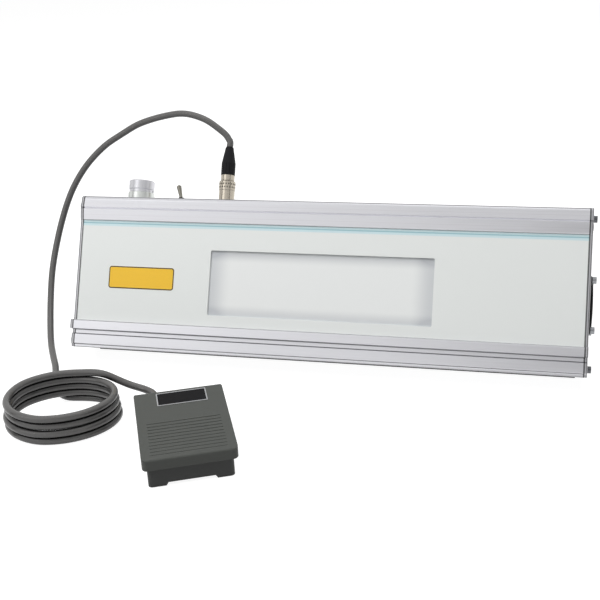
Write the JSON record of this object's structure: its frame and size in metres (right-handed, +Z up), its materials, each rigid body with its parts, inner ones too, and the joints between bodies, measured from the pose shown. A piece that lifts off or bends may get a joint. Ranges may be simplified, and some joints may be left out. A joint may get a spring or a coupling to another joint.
{
  "type": "x-ray film viewer",
  "caption": "Leaning aluminium film viewer with a lit window, dimmer knob, toggle switch, side fan and rear stand, with a foot pedal on a coiled lead.",
  "frame": {"origin": "on the ground, at the middle of the rubber foot strip's contact face", "axes": "+X along the case to the right as seen from the front, +Y away from the viewer towards the back, +Z up"},
  "size_m": [0.6081, 0.395, 0.2558],
  "materials": {
    "anodised": "satin anodised",
    "white_panel": "smooth satin paint",
    "plate": "satin anodised",
    "opal": "frosted opal acrylic",
    "board": "solder resist",
    "frame_white": "matte moulded",
    "raw_aluminium": "extruded",
    "zinc_steel": "zinc plated",
    "black_steel": "blackened",
    "chrome": "polished",
    "nickel": "nickel plated",
    "black_plastic": "moulded",
    "rubber": "matte",
    "cord": "smooth sheath",
    "pedal_grey": "fine texture paint",
    "knob_silver": "turned satin",
    "red_plastic": "moulded"
  },
  "bodies": {
    "case": {"top_extrusion": "anodised", "bottom_extrusion": "anodised", "foot_strip": "rubber", "front_panel": "white_panel", "back_panel": "white_panel", "back_panel_screws": "zinc_steel", "window_diffuser": "opal", "light_frame": "frame_white", "led_board": "board", "heat_sink": "raw_aluminium", "lamp_brackets": "raw_aluminium", "left_end_plate": "plate", "right_end_plate": "plate", "left_end_screws": "black_steel", "right_end_screws": "black_steel", "fan_frame": "black_plastic", "fan_guard": "chrome", "fan_screws": "zinc_steel", "mains_inlet": "black_plastic", "inlet_screws": "zinc_steel", "driver_bracket": "raw_aluminium", "driver_board": "board", "driver_screw": "black_steel", "dimmer_body": "black_plastic", "dimmer_nut": "nickel", "toggle_body": "black_plastic", "toggle_nut": "nickel", "panel_socket": "nickel", "socket_nut": "nickel", "plug_shell": "nickel", "plug_boot": "rubber", "stand_hinge_blocks": "black_plastic", "stand_block_screws": "zinc_steel", "cord_arch": "cord", "cord_coil": "cord", "cord_tail": "cord", "pedal_base": "black_plastic", "pedal_pin": "zinc_steel", "pedal_gland": "rubber", "pedal_feet": "rubber", "switch_body": "black_plastic", "switch_screws": "zinc_steel", "return_spring": "zinc_steel"},
    "knob": {"knob_shaft": "nickel", "brightness_knob": "knob_silver", "knob_collar": "knob_silver", "knob_grub_screw": "black_steel"},
    "toggle": {"toggle_lever": "nickel"},
    "rotor": {"fan_rotor": "black_plastic"},
    "ring": {"coupling_ring": "nickel"},
    "stand": {"rear_stand": "chrome", "stand_sleeves": "rubber"},
    "tread": {"pedal_tread": "pedal_grey"},
    "plunger": {"switch_plunger": "red_plastic"}
  },
  "joints": [
    {"name": "knob_turn", "type": "hinge", "parent": "case", "child": "knob", "pos_m": [-0.2194, 0.04883, 0.16013], "axis": [0, 0.4384, 0.8988], "range_deg": [-140, 140]},
    {"name": "toggle_throw", "type": "hinge", "parent": "case", "child": "toggle", "pos_m": [-0.171, 0.0508, 0.16418], "axis": [0, 0.8988, -0.4384], "range_deg": [0, 30]},
    {"name": "fan_spin", "type": "hinge", "parent": "case", "child": "rotor", "pos_m": [0.26, 0.00674, 0.07385], "axis": [1, 0, 0], "continuous": true},
    {"name": "ring_turn", "type": "hinge", "parent": "case", "child": "ring", "pos_m": [-0.118, 0.05321, 0.16912], "axis": [0, 0.4384, 0.8988], "range_deg": [0, 60]},
    {"name": "stand_fold", "type": "hinge", "parent": "case", "child": "stand", "pos_m": [0, 0.06562, 0.08964], "axis": [1, 0, 0], "range_deg": [-52, 0]},
    {"name": "tread_press", "type": "hinge", "parent": "case", "child": "tread", "pos_m": [-0.10542, -0.17518, 0.0315], "axis": [0.9063, 0.4226, 0], "range_deg": [0, 3], "stiffness_Nm_per_rad": 6, "springref_deg": -5.73, "deforming": ["return_spring"]},
    {"name": "plunger_slide", "type": "slide", "parent": "case", "child": "plunger", "axis": [0, 0, -1], "range_m": [0, 0.0026]}
  ],
  "couplings": [
    {"joint": "plunger_slide", "follows": "tread_press", "m_per_rad": 0.048}
  ]
}
